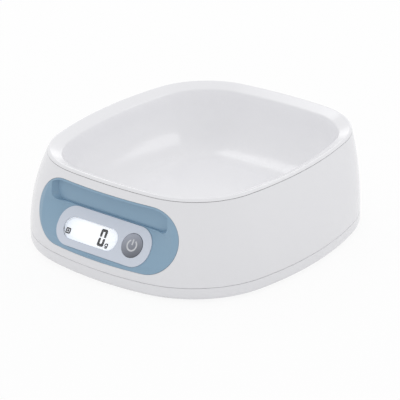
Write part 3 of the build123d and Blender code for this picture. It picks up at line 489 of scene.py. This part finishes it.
def make_digit(material):
    """Nought made of six bars of a seven-bar figure."""
    bm = bmesh.new()
    half = DIGIT_STROKE / 2
    middle = (DIGIT_LOW + DIGIT_HIGH) / 2
    width = DIGIT_RIGHT - DIGIT_LEFT
    height = (DIGIT_HIGH - DIGIT_LOW) / 2
    for level in (DIGIT_LOW + half, DIGIT_HIGH - half):
        place = ((DIGIT_LEFT + DIGIT_RIGHT) / 2, level)
        flat_bar(bm, place, width - DIGIT_CLIP, DIGIT_STROKE, DIGIT_CLIP)
    for x in (DIGIT_LEFT + half, DIGIT_RIGHT - half):
        for way in (-1, 1):
            place = (x, middle + way * height / 2)
            flat_bar(bm, place, height - DIGIT_CLIP, DIGIT_STROKE, DIGIT_CLIP, upright=True)
    thicken(bm, FIGURE_THICKNESS)
    add_piece("digit_nought", bm, panel_place(0.0, 0.0, SCREEN_DEPTH), material, "casing")


def keep_border(bm, width):
    """Turns filled outlines into frames of one width."""
    inset = bmesh.ops.inset_region(bm, faces=bm.faces[:], thickness=width, use_boundary=True)
    border = set(inset["faces"])
    inside = [face for face in bm.faces if face not in border]
    bmesh.ops.delete(bm, geom=inside, context="FACES")


def arc_band(bm, middle, radius, stroke, height, start, sweep):
    """Upright section spun round a middle into a bent band that stands on the plane."""
    section = Matrix.Translation((*middle, height / 2)) @ Matrix.Rotation(start, 4, "Z")
    section @= Matrix.Translation((radius, 0.0, 0.0)) @ Matrix.Rotation(pi / 2, 4, "X")
    section @= Matrix.Diagonal((stroke, height, 1.0, 1.0))
    made = bmesh.ops.create_grid(bm, x_segments=1, y_segments=1, size=0.5, matrix=section)
    face = made["verts"][0].link_faces[0]
    bmesh.ops.spin(
        bm, geom=[*face.verts, *face.edges, face], cent=(*middle, 0.0),
        axis=(0.0, 0.0, 1.0), angle=sweep, steps=ARC_STEPS,
    )


def make_unit(material):
    """Small unit letter after the digit: a ring, a stem at its right and a hook below."""
    bm = bmesh.new()
    outside = UNIT_RADIUS + UNIT_STROKE / 2
    bmesh.ops.create_circle(bm, cap_ends=True, segments=32, radius=outside)
    keep_border(bm, UNIT_STROKE)
    stem = (UNIT_RADIUS, (outside - UNIT_DROP) / 2)
    flat_bar(bm, stem, outside + UNIT_DROP, UNIT_STROKE, UNIT_CLIP, upright=True)
    thicken(bm, FIGURE_THICKNESS)
    low = (0.0, -UNIT_DROP)
    arc_band(bm, low, UNIT_RADIUS, UNIT_STROKE, FIGURE_THICKNESS, 0.0, -radians(140.0))
    add_piece("unit_g", bm, panel_place(*UNIT_PLACE, SCREEN_DEPTH), material, "casing")


def make_mark(material):
    """Square mark at the screen's left: a frame round a disc."""
    bm = bmesh.new()
    side = Matrix.Diagonal((MARK_SIDE, MARK_SIDE, 1.0, 1.0))
    made = bmesh.ops.create_grid(bm, x_segments=1, y_segments=1, size=0.5, matrix=side)
    bmesh.ops.bevel(
        bm, geom=made["verts"], offset=MARK_CORNER, segments=4, profile=0.5,
        affect="VERTICES", material=-1,
    )
    keep_border(bm, MARK_BORDER)
    bmesh.ops.create_circle(bm, cap_ends=True, segments=24, radius=MARK_DISC)
    thicken(bm, FIGURE_THICKNESS)
    add_piece("square_mark", bm, panel_place(*MARK_PLACE, SCREEN_DEPTH), material, "casing")


def make_symbol(material):
    """On-off symbol on the button: an open ring with an upright bar in its opening."""
    bm = bmesh.new()
    start = pi / 2 + SYMBOL_OPENING / 2
    sweep = 2 * pi - SYMBOL_OPENING
    arc_band(bm, (0.0, 0.0), SYMBOL_RADIUS, SYMBOL_STROKE, SYMBOL_HEIGHT, start, sweep)
    top = SYMBOL_RADIUS + SYMBOL_STROKE / 2
    bar = Matrix.Translation((0.0, top - SYMBOL_BAR / 2, SYMBOL_HEIGHT / 2))
    bar @= Matrix.Diagonal((SYMBOL_STROKE, SYMBOL_BAR, SYMBOL_HEIGHT, 1.0))
    bmesh.ops.create_cube(bm, size=1.0, matrix=bar)
    add_piece("power_symbol", bm, panel_place(BUTTON_X, 0.0, BUTTON_FACE), material, "button")


class KitchenScaleChoices(PropertyGroup):
    """Size, colours and light that a user may change"""

    white_tone: FloatVectorProperty(
        name="White", description="Colour of the casing, its base and the battery door",
        subtype="COLOR", size=3, min=0.0, max=1.0, default=(0.82, 0.82, 0.845),
    )
    # The bowl's white is a lighter copy of the casing's, which paints in light that the bowl's
    # inside lacks.
    bowl_tone_painted_light: FloatVectorProperty(
        name="Bowl", description="Colour of the bowl, which is moulded in a fresher white",
        subtype="COLOR", size=3, min=0.0, max=1.0, default=(0.86, 0.86, 0.885),
    )
    bowl_rounding: FloatProperty(
        name="Bowl rounding", description="Radius between the bowl's floor and its wall",
        unit="LENGTH", min=CAD_ROUND, max=60.0 * MM, default=45.0 * MM,
    )
    white_gloss: FloatProperty(
        name="White roughness", description="Roughness of the white mouldings",
        subtype="FACTOR", min=0.0, max=1.0, default=0.18,
    )
    bezel_tone: FloatVectorProperty(
        name="Bezel", description="Colour of the bezel round the display",
        subtype="COLOR", size=3, min=0.0, max=1.0, default=(0.262, 0.402, 0.532),
    )
    panel_tone: FloatVectorProperty(
        name="Panel", description="Colour of the plate that holds the window and button",
        subtype="COLOR", size=3, min=0.0, max=1.0, default=(0.655, 0.70, 0.79),
    )
    button_tone: FloatVectorProperty(
        name="Button", description="Colour of the power button",
        subtype="COLOR", size=3, min=0.0, max=1.0, default=(0.255, 0.27, 0.315),
    )
    # The screen's glow is its backlight and partly painted light in place of room light that
    # the lens holds back.
    screen_light: FloatProperty(
        name="Screen light", description="Strength of the display's own light",
        min=0.0, max=4.0, default=0.6,
    )
    room_light: FloatProperty(
        name="Room light", description="Strength of the even light all round",
        min=0.0, max=4.0, default=0.87,
    )
    lamp_power: FloatProperty(
        name="Lamp power", description="Power that the three soft lamps take their shares of",
        unit="POWER", min=0.0, max=500.0, default=1.8,
    )


class SCALE_OT_finishes(Operator):
    """Give every CAD piece of the scale its finish"""

    bl_idname = "kitchen_scale.finishes"
    bl_label = "Finish the pieces"

    def execute(self, context):
        made = finishes(context.scene.kitchen_scale)
        for row in frame["record"]["subparts"]:
            node = frame["nodes"][row["node"]]
            node.data.materials.clear()
            node.data.materials.append(made[row["material_slot"]])
        return {"FINISHED"}


class SCALE_OT_bowl(Operator):
    """Round the bowl's inside as widely as the real one's"""

    bl_idname = "kitchen_scale.bowl"
    bl_label = "Round the bowl"

    def execute(self, context):
        choices = context.scene.kitchen_scale
        # Lighter white than the casing's: painted light for the bowl's inside.
        white = moulded_plastic("bowl_abs_painted_light", choices.bowl_tone_painted_light[:], choices.white_gloss)
        make_bowl(white, choices.bowl_rounding)
        return {"FINISHED"}


class SCALE_OT_figures(Operator):
    """Add the figures on the screen and the symbol on the button"""

    bl_idname = "kitchen_scale.figures"
    bl_label = "Add figures and symbol"

    def execute(self, context):
        ink = moulded_plastic("screen_ink", (0.012, 0.013, 0.016), 0.5, 0.3)
        print_grey = moulded_plastic("symbol_print", (0.62, 0.63, 0.66), 0.45, 0.05)
        make_digit(ink)
        make_unit(ink)
        make_mark(ink)
        make_symbol(print_grey)
        return {"FINISHED"}


class SCALE_OT_stage(Operator):
    """Set up the floor, the lamps, the room and the camera"""

    bl_idname = "kitchen_scale.stage"
    bl_label = "Set the stage"

    def execute(self, context):
        choices = context.scene.kitchen_scale
        make_floor()
        make_room(choices.room_light)
        for name, place, size, share in LAMPS:
            lamp(name, place, size, choices.lamp_power * share)
        make_camera(context.scene)
        return {"FINISHED"}


def seen_rays(tree):
    """1 for rays from the camera, gloss and glass, 0 for rays that carry the room's light."""
    path = tree.nodes.new("ShaderNodeLightPath")
    seen = path.outputs["Is Camera Ray"]
    for ray in ("Is Glossy Ray", "Is Transmission Ray"):
        either = tree.nodes.new("ShaderNodeMath")
        either.operation = "MAXIMUM"
        tree.links.new(seen, either.inputs[0])
        tree.links.new(path.outputs[ray], either.inputs[1])
        seen = either.outputs["Value"]
    return seen


def whitened(tree, shader, share):
    """Mixes plain white into a shader for what the camera, gloss and glass see."""
    glow = tree.nodes.new("ShaderNodeEmission")
    mix = tree.nodes.new("ShaderNodeMixShader")
    tree.links.new(between_values(tree, seen_rays(tree), 0.0, share), mix.inputs[0])
    tree.links.new(shader.outputs[0], mix.inputs[1])
    tree.links.new(glow.outputs[0], mix.inputs[2])
    return mix


def make_floor():
    mesh = bpy.data.meshes.new("floor")
    bm = bmesh.new()
    bmesh.ops.create_grid(bm, x_segments=1, y_segments=1, size=4.0)
    bm.to_mesh(mesh)
    bm.free()
    floor = bpy.data.objects.new("floor", mesh)
    bpy.context.collection.objects.link(floor)
    material, tree, shader = new_material("pale_floor", 0.8)
    tone = between_tones(tree, noise(tree, 2.0), (0.90, 0.90, 0.90), (0.92, 0.92, 0.92))
    tree.links.new(tone, shader.inputs["Base Color"])
    mix = whitened(tree, shader, share=0.9)
    tree.links.new(mix.outputs[0], tree.nodes["Material Output"].inputs["Surface"])
    mesh.materials.append(material)


def make_room(strength):
    world = bpy.data.worlds.new("room")
    world.use_nodes = True
    tree = world.node_tree
    background = tree.nodes["Background"]
    background.inputs["Color"].default_value = (1.0, 1.0, 1.0, 1.0)
    level = between_values(tree, seen_rays(tree), strength, 1.0)
    tree.links.new(level, background.inputs["Strength"])
    bpy.context.scene.world = world


def lamp(name, place, size, power):
    """Soft box that faces the scale; its size is across and up."""
    data = bpy.data.lights.new(name, "AREA")
    data.shape = "RECTANGLE"
    data.size, data.size_y = size
    data.energy = power
    light = bpy.data.objects.new(name, data)
    light.location = place
    light.rotation_euler = (-Vector(place)).to_track_quat("-Z", "Y").to_euler()
    bpy.context.collection.objects.link(light)


def make_camera(scene):
    data = bpy.data.cameras.new("camera")
    data.sensor_width = 36.0
    data.lens = LENS
    camera = bpy.data.objects.new("camera", data)
    back = Vector(LOOK_BACK).normalized()
    camera.location = Vector(LOOK_AT) + back * DISTANCE
    camera.rotation_euler = back.to_track_quat("Z", "Y").to_euler()
    scene.collection.objects.link(camera)
    scene.camera = camera
    scene.view_settings.view_transform = "Standard"


STEPS = (SCALE_OT_finishes, SCALE_OT_bowl, SCALE_OT_figures, SCALE_OT_stage)


class SCALE_PT_panel(Panel):
    """Sidebar panel that lists the scale's choices and its steps"""

    bl_idname = "SCALE_PT_panel"
    bl_label = "Kitchen Scale"
    bl_space_type = "VIEW_3D"
    bl_region_type = "UI"
    bl_category = "Kitchen Scale"

    def draw(self, context):
        choices = context.scene.kitchen_scale
        for name in choices.bl_rna.properties.keys():
            if name not in ("rna_type", "name"):
                self.layout.prop(choices, name)
        for step in STEPS:
            self.layout.operator(step.bl_idname)


CLASSES = (KitchenScaleChoices, *STEPS, SCALE_PT_panel)


def register():
    for cls in CLASSES:
        bpy.utils.register_class(cls)
    bpy.types.Scene.kitchen_scale = PointerProperty(type=KitchenScaleChoices)


def unregister():
    del bpy.types.Scene.kitchen_scale
    for cls in reversed(CLASSES):
        bpy.utils.unregister_class(cls)


def main():
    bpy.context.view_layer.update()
    register()
    bpy.ops.kitchen_scale.finishes()
    bpy.ops.kitchen_scale.bowl()
    bpy.ops.kitchen_scale.figures()
    bpy.ops.kitchen_scale.stage()


if __name__ == "__main__":
    main()
